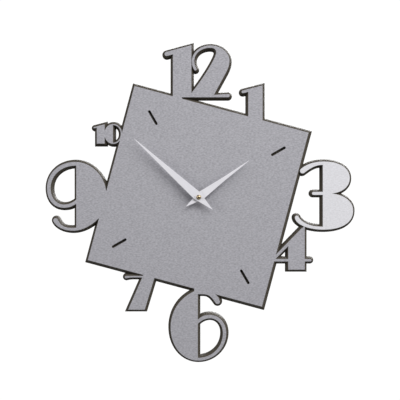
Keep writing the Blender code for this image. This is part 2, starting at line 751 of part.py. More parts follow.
def electronics():
    board = material("green_board", (0.03, 0.16, 0.07), 0.45)
    epoxy = material("black_epoxy", (0.015, 0.015, 0.015), 0.3)
    steel = bpy.data.materials["zinc_plated_steel"]
    slab("circuit_board", [rectangle(10.0, 15.4, 26.4, 26.2)], 9.0, 9.8, stuff=board)
    turned(
        "chip_cover", [(0.0, 11.2), (1.6, 11.0), (2.6, 10.6), (2.9, 10.1), (0.0, 10.1)],
        at=(22.5, 22.0), stuff=epoxy, steps=24,
    )
    can = slab("quartz_crystal", [circle(1.0, 16)], -3.0, 3.0, stuff=steel)
    can.rotation_euler = (0.0, 0.0, 0.0)
    can.location = (MM * 14.5, -MM * 11.1, MM * 21.4)


def battery():
    wrap = material("battery_sleeve", (0.06, 0.07, 0.09), 0.35)
    steel = bpy.data.materials["zinc_plated_steel"]
    cell = turned(
        "battery",
        [
            (0.0, 25.2), (2.7, 25.2), (2.7, 23.9), (6.2, 23.9), (7.0, 23.3),
            (7.0, -23.7), (6.4, -24.3), (0.0, -24.3),
        ],
        stuff=wrap,
    )
    cell.rotation_euler = (0.0, pi / 2, 0.0)
    cell.location = (MM * BATTERY[0], -MM * 7.6, MM * BATTERY[1])
    box("contact_positive", 25.1, 25.6, -24.5, -14.0, 2.0, 13.2, steel)
    box("contact_negative", -26.5, -26.1, -24.5, -14.0, 2.0, 13.2, steel)


fixings()
hands()
case()
train()
motor()
electronics()
battery()
dial()
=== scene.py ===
"""Looks of the wall clock: the dial's fine outline, its laminate, stained edges, hands and movement.

The hand axis is the origin, the wall is y = 0 and the dial faces -Y. Lengths are in millimetres;
a depth is measured from the wall towards the viewer.
"""

import json
from math import atan, atan2, cos, hypot, pi, radians, sin, tan

import bmesh
import bpy
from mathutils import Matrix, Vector


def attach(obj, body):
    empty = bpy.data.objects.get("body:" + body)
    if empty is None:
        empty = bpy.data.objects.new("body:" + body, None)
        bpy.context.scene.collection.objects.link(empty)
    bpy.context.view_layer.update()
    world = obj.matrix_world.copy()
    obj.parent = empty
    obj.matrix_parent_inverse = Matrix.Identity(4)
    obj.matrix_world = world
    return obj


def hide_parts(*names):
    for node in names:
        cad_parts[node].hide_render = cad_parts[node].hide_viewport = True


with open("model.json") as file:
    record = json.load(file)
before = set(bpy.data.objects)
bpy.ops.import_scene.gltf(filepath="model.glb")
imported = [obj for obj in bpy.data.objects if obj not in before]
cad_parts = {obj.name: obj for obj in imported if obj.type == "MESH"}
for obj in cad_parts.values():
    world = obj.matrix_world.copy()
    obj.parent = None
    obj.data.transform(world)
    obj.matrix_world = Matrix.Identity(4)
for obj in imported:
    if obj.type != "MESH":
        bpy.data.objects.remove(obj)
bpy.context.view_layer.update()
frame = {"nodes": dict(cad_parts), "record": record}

MM = 0.001
QUARTER = tan(pi / 8)  # the bulge of a quarter circle
X_TO_FRONT = (pi / 2, 0.0, 0.0)  # a quarter turn about X: what faced down faces along +Y

# The board. The facing sits a little up and left on it, so more of the board shows below and at right.
SQUARE_SIDE = 236.3
SQUARE_CENTRE = (-0.8, 1.1)
SQUARE_TILT = -15.0
BOARD_SHIFT = (0.45, -0.45)
# Far too small to see: it keeps the numerals' outlines from lying exactly on other outlines.
NUMERAL_SHIFT = (0.03, -0.02)
SQUARE_CHAMFER = 4.1
NUMERAL_CHAMFER = 3.3
CHAMFER_DEPTH = 8.5
BOARD_SOFT = 0.1
BOARD_BACK, POCKET_FLOOR, BOARD_FRONT = 13.9, 18.7, 26.1
POCKET = (-34.0, -34.0, 34.0, 50.0, 6.0)  # left, bottom, right, top and corner radius
DIAL_HOLE = 4.4
BEYOND = 260  # wider than the whole dial
CURVE_STEPS = 22

# The slots for the hours between the numerals.
TICK_HOURS = (2, 5, 8, 11)
TICK_RADIUS = 120.5
TICK_LENGTH = 21.8
TICK_WIDTH = 3.4
TICK_DEPTH = 5.0

# The laminate: how far its edges are eased, and the gap round the three.
FACING_FRONT = 26.6
FACING_EASE = 0.1
THREE_GAP = 0.12

# The movement.
CASE_HALF = 28.0
CASE_WALL = 1.2
CASE_SPLIT = 8.3
CASE_DEPTH = 16.0
CASE_CORNER = 3.0
CLIPS = [(-14.0, 1), (14.0, 1), (-14.0, -1), (14.0, -1)]  # a place along X, and the top or bottom side
CLIP_LINE = 27.5
ENGRAVED = 0.35
SETTING = (14.4, 9.6 * sin(radians(60)))
KNOB_RADIUS = 5.95
KNOB_POINTS = 80
KNURL_DEPTH = 0.32
NEARLY_STRAIGHT = 0.0001  # a bulge that leaves an arc's points on a straight line
BATTERY = (-0.9, -19.2)
BATTERY_DEPTH = 7.6

# Paths: each row is a straight move (x, z), an arc (x, z, bulge) or a cubic (two handles, then its end).

TWELVE_ONE = [
    (-34.0, 120.0), (-22.0, 120.0), (-22.0, 131.0), (-9.7, 131.0), (-9.7, 199.5),
    (-42.9, 190.4), (-41.5, 185.2, 1), (-34.0, 187.4),
]
TWELVE_TWO = [
    (-15.0, 131.0), (38.4, 131.0), (38.2, 135.3, 1), (19.8, 134.2), (33.8, 160.0),
    (38.0, 167.5, 40.2, 173.0, 40.2, 179.0),
    (40.2, 190.5, 28.0, 199.0, 15.5, 199.0),
    (2.0, 199.0, -9.1, 190.0, -9.1, 178.5),
    (-9.1, 174.0, -8.2, 171.0, -6.4, 167.8),
    (-2.8, 168.2, 1),
    (-5.0, 171.6, -5.9, 175.5, -5.9, 179.0),
    (-5.9, 189.0, 4.0, 195.8, 14.5, 195.8),
    (20.0, 195.8, 22.8, 193.8, 22.8, 189.8),
    (22.8, 184.0, 9.0, 160.0, -9.7, 136.5),
    (-13.0, 133.5),
]
ONE = [
    (64.8, 100.0), (83.6, 95.0), (83.6, 146.7), (57.4, 139.9), (58.4, 136.4, 1), (64.8, 138.1),
]
THREE_UPPER = [
    (162.6, 5.8), (164.5, 4.6), (170.0, 4.6),
    (187.0, 4.8, 197.9, 13.0, 197.9, 25.0),
    (197.9, 40.0, 182.0, 46.8, 164.0, 46.8),
    (152.0, 46.8, 141.5, 43.5, 134.4, 37.5),
    (137.8, 31.6, 1),
    (145.0, 37.0, 152.0, 42.4, 162.6, 42.4),
]
THREE_LOWER = [
    (162.6, 3.8), (162.6, -38.6),
    (150.0, -38.6, 137.5, -36.0, 131.0, -26.2),
    (126.0, -27.0, 1),
    (127.0, -36.0, 144.0, -42.6, 163.0, -42.6),
    (187.0, -42.6, 202.3, -34.0, 202.3, -17.5),
    (202.3, -3.0, 186.0, 5.0, 170.0, 5.0),
    (164.5, 5.0),
]
THREE_STUB = [(171.0, 7.0), (150.4, 7.0), (150.4, 3.0, 1), (171.0, 3.0)]
FOUR_STEM = [(117.2, -95.0), (138.9, -95.0), (138.9, -38.5), (137.5, -38.5), (117.2, -61.5)]
FOUR_DIAGONAL = [(96.0, -80.6), (135.6, -39.9), (138.4, -42.7), (94.5, -87.0)]
FOUR_BAR = [(92.0, -81.0), (92.0, -84.3), (146.2, -84.3), (146.2, -81.2, 1), (139.0, -81.0)]
SIX_BODY = [
    (-1.3, -160.3), (4.6, -156.2),
    (7.5, -154.9, 10.5, -154.3, 14.0, -154.3),
    (27.0, -154.3, 36.0, -165.0, 36.0, -178.5),
    (36.0, -198.0, 20.0, -214.3, -0.5, -214.3),
    (-21.0, -214.3, -37.0, -196.0, -37.0, -171.0),
    (-37.0, -149.2, -24.6, -129.8, -1.3, -121.5),
]
SIX_COUNTER = [
    (-1.3, -165.9), (-1.3, -210.7),
    (17.0, -210.7, 31.5, -197.0, 31.5, -178.8),
    (31.5, -167.0, 24.5, -158.8, 14.5, -158.8),
    (8.0, -158.8, 3.0, -162.0, -1.3, -165.9),
]
SIX_HOOK = [
    (-6.0, -127.2), (5.0, -127.2),
    (13.0, -127.2, 16.5, -130.5, 22.0, -138.6),
    (27.2, -135.7, 1),
    (26.5, -132.0, 24.0, -129.0, 18.5, -125.0),
    (14.0, -115.0), (-6.0, -115.0),
]
SEVEN_STEM = [(-92.6, -147.5), (-70.9, -147.5), (-56.4, -100.0), (-71.8, -100.0)]
SEVEN_BAR = [
    (-66.0, -103.2), (-95.6, -103.2), (-95.2, -106.4, 1),
    (-92.0, -105.5, -89.0, -105.2, -84.0, -105.2),
    (-66.0, -105.4),
]
NINE_BODY = [
    (-160.7, -8.8), (-166.8, -12.0),
    (-170.0, -13.3, -173.0, -13.9, -177.0, -13.9),
    (-190.0, -13.9, -199.0, -4.0, -199.0, 12.0),
    (-199.0, 31.0, -184.0, 46.3, -162.0, 46.3),
    (-141.0, 46.3, -123.6, 28.0, -121.9, 8.8),
    (-112.0, 8.8), (-118.0, -17.0), (-132.0, -28.4),
    (-141.0, -37.5, -153.0, -44.0, -165.0, -44.0),
    (-178.0, -44.0, -188.0, -38.0, -190.6, -31.3),
    (-185.1, -29.4, -1),
    (-181.5, -36.0, -177.5, -40.0, -168.0, -40.1),
    (-160.7, -40.1),
]
NINE_COUNTER = [
    (-160.7, 41.4), (-160.7, -3.3),
    (-165.5, -7.0, -170.0, -9.6, -176.5, -9.6),
    (-187.0, -9.6, -194.3, -1.0, -194.3, 12.0),
    (-194.3, 28.0, -181.0, 41.4, -160.7, 41.4),
]
TEN_ONE = [(-133.8, 70.3), (-123.5, 70.3), (-123.5, 95.6), (-133.8, 92.9)]
TEN_SERIF = [(-129.0, 94.1), (-137.4, 92.0), (-137.0, 90.3, 1), (-129.0, 92.3)]
TEN_ZERO = [
    (-100.6, 83.0),
    (-100.6, 90.2, -105.8, 96.1, -112.2, 96.1),
    (-118.6, 96.1, -123.9, 90.2, -123.9, 83.0),
    (-123.9, 75.8, -118.6, 69.9, -112.2, 69.9),
    (-105.8, 69.9, -100.6, 75.8, -100.6, 83.0),
]
TEN_COUNTER = [
    (-112.6, 71.4), (-112.6, 94.6),
    (-106.5, 94.6, -102.4, 89.5, -102.4, 83.0),
    (-102.4, 76.5, -106.5, 71.4, -112.6, 71.4),
]
# Each stroke is its outline and, where it has one, the hole in it.
GREY_STROKES = [
    [TWELVE_ONE], [TWELVE_TWO], [ONE], [FOUR_STEM], [FOUR_DIAGONAL], [FOUR_BAR],
    [SIX_BODY, SIX_COUNTER], [SIX_HOOK], [SEVEN_STEM], [SEVEN_BAR],
    [NINE_BODY, NINE_COUNTER], [TEN_ONE], [TEN_SERIF], [TEN_ZERO, TEN_COUNTER],
]
PALE_STROKES = [[THREE_UPPER], [THREE_LOWER], [THREE_STUB]]

# The hands: (distance from the axis, width) from tip to tail, and degrees clockwise from the twelve.
HOUR_STATIONS = [(81.0, 0.5), (40.0, 4.9), (2.8, 11.2), (-20.5, 0.5)]
HOUR_ANGLE = 53.9
MINUTE_STATIONS = [(113.0, 0.5), (2.8, 11.7), (-23.8, 0.5)]
MINUTE_ANGLE = 312.1
# Name, outline, angle, back, front, radius of the bore, body.
HANDS = [
    ("hour_needle", HOUR_STATIONS, HOUR_ANGLE, 33.0, 33.7, 3.3, "hour_train"),
    ("minute_needle", MINUTE_STATIONS, MINUTE_ANGLE, 35.2, 35.9, 1.7, "minute_train"),
]
HAND_EASE = 0.12

# The cap nut, and the thread on the bush.
CAP_CROWN, CAP_SHOULDER, CAP_FOOT = 39.3, 37.1, 36.2
DOME_RADIUS = 2.75
DOME_STEPS = 14
THREAD_PITCH = 0.7

# Smooth shading breaks at these angles, in degrees.
BOARD_SHARP, HAND_SHARP, TURNED_SHARP, BATTERY_SHARP, SPRING_SHARP = 22.0, 12.0, 50.0, 40.0, 60.0
LATHE_STEPS = 64
EASED_ANGLE = 30.0
CAD_EASE = 0.08
CAD_SHARP = 40

# The studio, in metres. Lights: name, place, width, height and power in watts.
LIT_POINT = (0.0, -0.02, 0.0)
LIGHTS = [
    ("overhead_softbox", (0.8, -2.4, 2.0), 2.6, 1.8, 80.0),
    ("left_panel", (-1.8, -0.95, 0.5), 0.8, 1.0, 16.0),
    ("right_panel", (1.8, -0.95, 0.5), 0.8, 1.0, 20.0),
    ("back_fill", (0.4, 1.6, 0.7), 1.2, 0.8, 22.0),
]
STUDIO_GLOW = (0.03, 0.03, 0.031, 1.0)
BACKDROP = (1.0, 1.0, 1.0, 1.0)
BACKDROP_STRENGTH = 1.05
FLOOR_PLACE = (0.0, -0.2, -2.0)
FLOOR_HALF = 1.3
# The camera stands 1.3 m from the dial's front and takes in 0.5244 m of it.
CAMERA_PLACE = (0.00157, -1.3266, -0.00367)
CAMERA_DISTANCE = 1.3
FRAMED_WIDTH = 0.5244
SENSOR = 36.0  # its width in millimetres, like the focal length


# Outlines.


def arc_points(start, end, bulge, steps):
    """Points of an arc; the bulge is the tangent of a quarter of its angle, above 0 anticlockwise."""
    turn = 4 * atan(bulge)
    chord = hypot(end[0] - start[0], end[1] - start[1])
    radius = chord / (2 * sin(abs(turn) / 2))
    side = 1 if bulge > 0 else -1
    along = ((end[0] - start[0]) / chord, (end[1] - start[1]) / chord)
    reach = side * radius * cos(abs(turn) / 2)
    centre = (
        (start[0] + end[0]) / 2 - along[1] * reach,
        (start[1] + end[1]) / 2 + along[0] * reach,
    )
    first = atan2(start[1] - centre[1], start[0] - centre[0])
    count = max(3, round(steps * abs(turn) / pi))
    angles = [first + turn * i / count for i in range(1, count + 1)]
    return [(centre[0] + radius * cos(a), centre[1] + radius * sin(a)) for a in angles]


def cubic_points(start, bend, steps):
    corners = (start, bend[0:2], bend[2:4], bend[4:6])
    points = []
    for i in range(1, steps + 1):
        t = i / steps
        s = 1 - t
        weights = (s**3, 3 * s * s * t, 3 * s * t * t, t**3)
        points.append(tuple(sum(w * c[k] for w, c in zip(weights, corners)) for k in (0, 1)))
    return points


def outline(path, steps=CURVE_STEPS):
    """The points of a closed path of straight moves, arcs and cubics."""
    points = [path[0]]
    for move in path[1:]:
        if len(move) == 2:
            points.append(move)
        elif len(move) == 3:
            points += arc_points(points[-1], move[:2], move[2], steps)
        else:
            points += cubic_points(points[-1], move, steps)
    if hypot(points[0][0] - points[-1][0], points[0][1] - points[-1][1]) < 1e-6:
        points.pop()
    return points


def area(points):
    """The signed area: above 0 when the points run anticlockwise."""
    pairs = zip(points[-1:] + points[:-1], points)
    return sum(a[0] * b[1] - b[0] * a[1] for a, b in pairs) / 2


def wound(loops):
    """The first loop anticlockwise and the holes clockwise."""
    turned = []
    for index, points in enumerate(loops):
        wanted = 1 if index == 0 else -1
        turned.append(points if area(points) * wanted > 0 else points[::-1])
    return turned


def circle(radius, count=64, at=(0.0, 0.0)):
    angles = [2 * pi * i / count for i in range(count)]
    return [(at[0] + radius * cos(a), at[1] + radius * sin(a)) for a in angles]


def rectangle(x0, z0, x1, z1):
    return [(x0, z0), (x1, z0), (x1, z1), (x0, z1)]


def rounded_rectangle(x0, z0, x1, z1, radius, steps=16):
    path = [
        (x0 + radius, z0), (x1 - radius, z0), (x1, z0 + radius, QUARTER),
        (x1, z1 - radius), (x1 - radius, z1, QUARTER),
        (x0 + radius, z1), (x0, z1 - radius, QUARTER),
        (x0, z0 + radius), (x0 + radius, z0, QUARTER),
    ]
    return outline(path, steps)


def slot(length, width, steps=16):
    straight = (length - width) / 2
    half = width / 2
    return outline(
        [(-half, -straight), (half, -straight, 1), (half, straight), (-half, straight, 1)], steps
    )


def turned_points(points, degrees, at=(0.0, 0.0)):
    a = radians(degrees)
    return [(at[0] + x * cos(a) - z * sin(a), at[1] + x * sin(a) + z * cos(a)) for x, z in points]


def hand_outline(stations):
    """A needle pointing up, from its (distance, width) stations."""
    left = [(-width / 2, along) for along, width in stations]
    right = [(width / 2, along) for along, width in reversed(stations)]
    return left + right


# Meshes.


def weld(mesh):
    body = bmesh.new()
    body.from_mesh(mesh)
    bmesh.ops.remove_doubles(body, verts=body.verts, dist=1e-6)
    bmesh.ops.recalc_face_normals(body, faces=body.faces)
    body.to_mesh(mesh)
    body.free()


def evaluated_mesh(thing):
    graph = bpy.context.evaluated_depsgraph_get()
    return bpy.data.meshes.new_from_object(thing.evaluated_get(graph))


def flat_mesh(
    name, loops, back, front, chamfer=0.0, slope=1.0, grow=0.0, soft=0.0, at=(0.0, 0.0)
):
    """A slab between two depths, its outline lying in X and Z.

    The chamfer reaches outwards and is `slope` times as deep as it is wide. `soft` is the share of
    it that rounds its two edges. `grow` moves the outline outwards.
    """
    curve = bpy.data.curves.new(name, "CURVE")
    curve.dimensions = "2D"
    curve.fill_mode = "BOTH"
    curve.extrude = MM * ((front - back) / 2 / slope - chamfer)
    curve.bevel_depth = MM * chamfer
    curve.bevel_resolution = 0
    curve.offset = MM * grow
    if soft:
        curve.bevel_mode = "PROFILE"
        curve.bevel_resolution = 4
        curve.bevel_profile.points.add(1 - soft / 2, soft * 1.1)
        curve.bevel_profile.points.add(soft * 1.1, 1 - soft / 2)
        curve.bevel_profile.update()
    for points in wound(loops):
        spline = curve.splines.new("POLY")
        spline.points.add(len(points) - 1)
        for knot, (x, z) in zip(spline.points, points):
            knot.co = (MM * x, MM * z, 0.0, 1.0)
        spline.use_cyclic_u = True
    guide = bpy.data.objects.new(name + "_guide", curve)
    bpy.context.scene.collection.objects.link(guide)
    mesh = evaluated_mesh(guide)
    bpy.data.objects.remove(guide, do_unlink=True)
    for vertex in mesh.vertices:
        x, z, depth = vertex.co
        vertex.co = (x + MM * at[0], -depth * slope - MM * (front + back) / 2, z + MM * at[1])
    weld(mesh)
    return mesh


def lathe_mesh(name, profile):
    """A turned piece about an axis along the depth; the profile is (radius, depth)."""
    body = bmesh.new()
    points = [body.verts.new((MM * radius, -MM * depth, 0.0)) for radius, depth in profile]
    edges = [body.edges.new(pair) for pair in zip(points, points[1:])]
    bmesh.ops.spin(
        body, geom=points + edges, cent=(0, 0, 0), axis=(0, 1, 0), angle=2 * pi, steps=LATHE_STEPS
    )
    bmesh.ops.remove_doubles(body, verts=body.verts, dist=2e-6)
    bmesh.ops.recalc_face_normals(body, faces=body.faces)
    mesh = bpy.data.meshes.new(name)
    body.to_mesh(mesh)
    body.free()
    return mesh


def solid(name, mesh, joins=(), cuts=(), bevel=0.0, segments=2):
    """The mesh with others joined to it and cut from it, then its sharp edges eased."""
    made = bpy.data.objects.new(name, mesh)
    bpy.context.scene.collection.objects.link(made)
    tools = []
    for index, (operation, meshes) in enumerate((("UNION", joins), ("DIFFERENCE", cuts))):
        if not meshes:
            continue
        group = bpy.data.collections.new(f"{name}_tools_{index}")
        for tool_index, tool_mesh in enumerate(meshes):
            tool = bpy.data.objects.new(f"{name}_tool_{index}_{tool_index}", tool_mesh)
            group.objects.link(tool)
            tools.append(tool)
        change = made.modifiers.new(f"tools_{index}", "BOOLEAN")
        change.operation = operation
        change.solver = "EXACT"
        change.operand_type = "COLLECTION"
        change.collection = group
    if bevel:
        ease = made.modifiers.new("eased_edges", "BEVEL")
        ease.width = MM * bevel
        ease.segments = segments
        ease.limit_method = "ANGLE"
        ease.angle_limit = radians(EASED_ANGLE)
        ease.harden_normals = False
    result = evaluated_mesh(made)
    made.modifiers.clear()
    made.data = result
    for tool in tools:
        bpy.data.objects.remove(tool, do_unlink=True)
    return made


def show(made, body, look, nodes=(), smooth=35.0):
    """A finished piece: it rides on a body, stands for CAD nodes and has one look."""
    made.data.materials.clear()
    made.data.materials.append(look)
    made.data.shade_smooth()
    made.data.set_sharp_from_angle(angle=radians(smooth))
    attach(made, body)
    if nodes:
        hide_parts(*nodes)


# Looks.


class Look:
    """A node material built up step by step on one Principled BSDF."""

    def __init__(self, name, roughness=0.5, metallic=0.0):
        self.material = bpy.data.materials.new(name)
        self.material.use_nodes = True
        self.tree = self.material.node_tree
        self.shader = self.tree.nodes["Principled BSDF"]
        self.shader.inputs["Roughness"].default_value = roughness
        self.shader.inputs["Metallic"].default_value = metallic
        self.place = self.tree.nodes.new("ShaderNodeTexCoord").outputs["Object"]

    def node(self, kind, inputs, **settings):
        made = self.tree.nodes.new(kind)
        for key, value in settings.items():
            setattr(made, key, value)
        for key, value in inputs.items():
            if isinstance(value, bpy.types.NodeSocket):
                self.tree.links.new(value, made.inputs[key])
            else:
                made.inputs[key].default_value = value
        return made

    def mapped(self, stretch=(1.0, 1.0, 1.0), turn=(0.0, 0.0, 0.0)):
        return self.node(
            "ShaderNodeMapping", {"Vector": self.place, "Scale": stretch, "Rotation": turn}
        ).outputs["Vector"]

    def noise(self, scale, detail=3.0, roughness=0.55, stretch=(1.0, 1.0, 1.0)):
        """Noise whose grain is `scale` millimetres across."""
        inputs = {
            "Vector": self.mapped(stretch), "Scale": 1000.0 / scale,
            "Detail": detail, "Roughness": roughness,
        }
        return self.node("ShaderNodeTexNoise", inputs).outputs["Fac"]

    def ranged(self, value, low, high, start=0.3, end=0.7):
        """The value with its range from start to end stretched to one from low to high."""
        inputs = {"Value": value, "From Min": start, "From Max": end, "To Min": low, "To Max": high}
        return self.node("ShaderNodeMapRange", inputs).outputs["Result"]

    def mix(self, factor, first, second):
        """A blend of two colours; sockets 0, 6 and 7 are the node's factor and its two colours."""
        made = self.tree.nodes.new("ShaderNodeMix")
        made.data_type = "RGBA"
        for key, value in ((0, factor), (6, first), (7, second)):
            if isinstance(value, bpy.types.NodeSocket):
                self.tree.links.new(value, made.inputs[key])
            elif key:
                made.inputs[key].default_value = (*value, 1.0)
            else:
                made.inputs[key].default_value = value
        return made.outputs[2]

    def maths(self, operation, first, second):
        return self.node("ShaderNodeMath", {0: first, 1: second}, operation=operation).outputs[0]

    def blend(self, first, first_share, second, second_share):
        return self.maths(
            "ADD",
            self.maths("MULTIPLY", first, first_share),
            self.maths("MULTIPLY", second, second_share),
        )

    def colour(self, value):
        if isinstance(value, tuple):
            self.shader.inputs["Base Color"].default_value = (*value, 1.0)
        else:
            self.tree.links.new(value, self.shader.inputs["Base Color"])
        return self

    def roughness(self, value):
        self.tree.links.new(value, self.shader.inputs["Roughness"])
        return self

    def bump(self, height, depth, strength=1.0):
        """`depth` is the relief in millimetres."""
        bump = self.node(
            "ShaderNodeBump", {"Height": height, "Distance": MM * depth, "Strength": strength}
        )
        if self.shader.inputs["Normal"].is_linked:
            before = self.shader.inputs["Normal"].links[0].from_socket
            self.tree.links.new(before, bump.inputs["Normal"])
        self.tree.links.new(bump.outputs["Normal"], self.shader.inputs["Normal"])
        return self


def laminate(name, low, high, fleck):
    """A matt paper laminate with the print and the relief of a slubby linen."""
    look = Look(name, 0.62)
    slub = look.noise(1.2, 1.0, 0.5, stretch=(0.42, 1.0, 1.0))
    weft = look.noise(0.8, 3.0, 0.6, stretch=(0.3, 1.0, 1.0))
    warp = look.noise(0.9, 3.0, 0.6, stretch=(1.0, 1.0, 0.3))
    speck = look.noise(0.45, 2.0, 0.7)
    cloud = look.noise(60.0, 2.0, 0.5)
    cloth = look.blend(weft, 0.6, warp, 0.4)
    threads = look.blend(slub, 0.70, cloth, 0.30)
    shade = look.mix(look.ranged(threads, 0.0, 1.0, 0.37, 0.63), low, high)
    shade = look.mix(look.ranged(speck, 0.0, 0.35, 0.55, 0.75), shade, fleck)
    shade = look.mix(look.ranged(cloud, 0.0, 0.06), shade, low)
    look.colour(shade)
    look.roughness(look.ranged(threads, 0.68, 0.55))
    return look.bump(threads, 0.07, 0.7).material


def stained_fibreboard():
    """Routed fibreboard under a dark stain: short fibres, paler where the stain wore off."""
    look = Look("stained_fibreboard_look", 0.5)
    fibres = look.noise(0.7, 5.0, 0.65, stretch=(0.35, 1.0, 0.35))
    layers = look.noise(1.6, 3.0, 0.6, stretch=(0.15, 3.0, 0.15))
    wear = look.noise(9.0, 4.0, 0.6)
    shade = look.mix(look.ranged(fibres, 0.0, 1.0), (0.046, 0.039, 0.029), (0.104, 0.090, 0.070))
    shade = look.mix(look.ranged(layers, 0.0, 0.35), shade, (0.130, 0.112, 0.087))
    shade = look.mix(look.ranged(wear, 0.0, 0.4, 0.45, 0.7), shade, (0.042, 0.034, 0.025))
    look.colour(shade)
    look.roughness(look.ranged(fibres, 0.42, 0.64))
    look.bump(fibres, 0.03, 0.4)
    return look.bump(layers, 0.04, 0.3).material


def lacquered_hands():
    """Silver lacquer on sheet metal, nearly matt."""
    look = Look("silver_hands_look", 0.42)
    grain = look.noise(0.35, 3.0, 0.6)
    haze = look.noise(14.0, 3.0, 0.5)
    look.colour(look.mix(look.ranged(haze, 0.0, 1.0), (0.79, 0.78, 0.82), (0.83, 0.82, 0.86)))
    look.roughness(look.ranged(grain, 0.34, 0.46))
    return look.bump(grain, 0.015, 0.5).material


def metal(name, dark, light, rough, scratch=0.012, stretch=(1.0, 1.0, 1.0)):
    look = Look(name, rough, 1.0)
    lines = look.noise(0.25, 4.0, 0.6, stretch=stretch)
    film = look.noise(4.0, 3.0, 0.5)
    look.colour(look.mix(look.ranged(film, 0.0, 1.0), dark, light))
    look.roughness(look.ranged(lines, rough * 0.8, rough * 1.3))
    return look.bump(lines, scratch, 0.6).material


def plastic(name, dark, light, rough, grain=0.5, relief=0.03):
    look = Look(name, rough)
    cells = look.noise(grain, 2.0, 0.6)
    flow = look.noise(12.0, 3.0, 0.5)
    look.colour(look.mix(look.ranged(flow, 0.0, 1.0), dark, light))
    look.roughness(look.ranged(cells, rough * 0.85, rough * 1.15))
    return look.bump(cells, relief, 0.6).material


def wound_copper():
    """Enamelled wire, its turns lying side by side along X."""
    look = Look("enamelled_copper_look", 0.3, 1.0)
    wires = look.node(
        "ShaderNodeTexWave",
        {"Vector": look.mapped(), "Scale": 1000.0 / 1.6, "Distortion": 0.6},
        wave_type="BANDS",
        bands_direction="X",
    ).outputs["Fac"]
    look.colour(look.mix(wires, (0.25, 0.09, 0.035), (0.62, 0.26, 0.11)))
    look.roughness(look.ranged(wires, 0.45, 0.25, 0.0, 1.0))
    return look.bump(wires, 0.08, 0.8).material


def printed_board():
    """Green solder resist over a grid of tracks."""
    look = Look("green_board_look", 0.35)
    tracks = look.node(
        "ShaderNodeTexBrick",
        {
            "Vector": look.mapped((1.0, 0.0, 1.0), X_TO_FRONT), "Scale": 320.0,
            "Color1": (0.02, 0.15, 0.06, 1.0), "Color2": (0.025, 0.18, 0.075, 1.0),
            "Mortar": (0.05, 0.28, 0.12, 1.0), "Mortar Size": 0.012,
        },
    )
    look.colour(tracks.outputs["Color"])
    grain = look.noise(0.4, 2.0)
    look.roughness(look.ranged(grain, 0.3, 0.42))
    return look.bump(tracks.outputs["Fac"], 0.03, 0.6).material


def sleeve():
    """A plain battery sleeve: dark body, a line and a pale band at the positive end, no lettering."""
    pale = (0.62, 0.60, 0.55)
    look = Look("battery_sleeve_look", 0.28)
    along = look.node("ShaderNodeSeparateXYZ", {"Vector": look.place}).outputs["X"]
    grain = look.noise(0.8, 2.0)
    body = look.mix(look.ranged(grain, 0.0, 1.0), (0.030, 0.036, 0.048), (0.042, 0.050, 0.064))
    band = look.maths("GREATER_THAN", along, MM * 11.5)
    shade = look.mix(band, body, pale)
    from_line = look.maths("ABSOLUTE", look.maths("SUBTRACT", along, MM * 10.4), 0.0)
    off_line = look.maths("GREATER_THAN", from_line, MM * 0.45)
    look.colour(look.mix(off_line, pale, shade))
    look.roughness(look.ranged(grain, 0.24, 0.34))
    look.shader.inputs["Coat Weight"].default_value = 0.4
    look.shader.inputs["Coat Roughness"].default_value = 0.15
    return look.bump(grain, 0.01, 0.4).material


LOOKS = {
    "stained_fibreboard": stained_fibreboard(),
    "grey_laminate": laminate(
        "grey_laminate_look", (0.325, 0.321, 0.348), (0.465, 0.459, 0.495), (0.50, 0.49, 0.52)
    ),
    "pale_laminate": laminate(
        "pale_laminate_look", (0.69, 0.685, 0.715), (0.79, 0.785, 0.82), (0.82, 0.81, 0.84)
    ),
    "silver_hands": lacquered_hands(),
    "brass": metal("brass_look", (0.40, 0.31, 0.18), (0.54, 0.44, 0.29), 0.2),
    "zinc_plated_steel": metal(
        "zinc_steel_look", (0.50, 0.51, 0.52), (0.62, 0.62, 0.61), 0.34, 0.015, (0.1, 1.0, 1.0)
    ),
    "black_rubber": plastic(
        "rubber_look", (0.018, 0.018, 0.018), (0.028, 0.028, 0.028), 0.8, 0.6, 0.04
    ),
    "black_abs": plastic(
        "black_abs_look", (0.018, 0.018, 0.020), (0.026, 0.026, 0.028), 0.48, 0.35, 0.03
    ),
    "white_acetal": plastic(
        "white_acetal_look", (0.72, 0.71, 0.66), (0.80, 0.79, 0.75), 0.4, 0.8, 0.01
    ),
    "dark_acetal": plastic(
        "dark_acetal_look", (0.07, 0.07, 0.08), (0.10, 0.10, 0.11), 0.42, 0.5, 0.02
    ),
    "ferrite": plastic("ferrite_look", (0.04, 0.04, 0.045), (0.07, 0.07, 0.075), 0.5, 0.3, 0.03),
    "amber_nylon": plastic(
        "amber_nylon_look", (0.68, 0.58, 0.38), (0.78, 0.70, 0.52), 0.42, 0.6, 0.015
    ),
    "enamelled_copper": wound_copper(),
    "green_board": printed_board(),
    "black_epoxy": plastic(
        "black_epoxy_look", (0.010, 0.010, 0.010), (0.020, 0.020, 0.020), 0.25, 1.5, 0.03
    ),
    "battery_sleeve": sleeve(),
}


def dress_cad_nodes():
    """Every node carried over gets its slot's look and eased edges."""
    for row in frame["record"]["subparts"]:
        node = frame["nodes"][row["node"]]
        look = LOOKS[row["material_slot"]]
        for index in range(len(node.data.materials)):
            node.data.materials[index] = look
        if not node.data.materials:
            node.data.materials.append(look)
        ease = node.modifiers.new("eased_edges", "BEVEL")
        ease.width = MM * CAD_EASE
        ease.segments = 1
        ease.limit_method = "ANGLE"
        ease.angle_limit = radians(CAD_SHARP)


# Dial.


def square_outline():
    half = SQUARE_SIDE / 2
    return turned_points(rectangle(-half, -half, half, half), SQUARE_TILT, SQUARE_CENTRE)


def stroke_meshes(strokes, back, front, **more):
    """A slab for each stroke of the numerals."""
    return [
        flat_mesh(f"stroke_{i}", [outline(path) for path in paths], back, front, **more)
        for i, paths in enumerate(strokes)
    ]


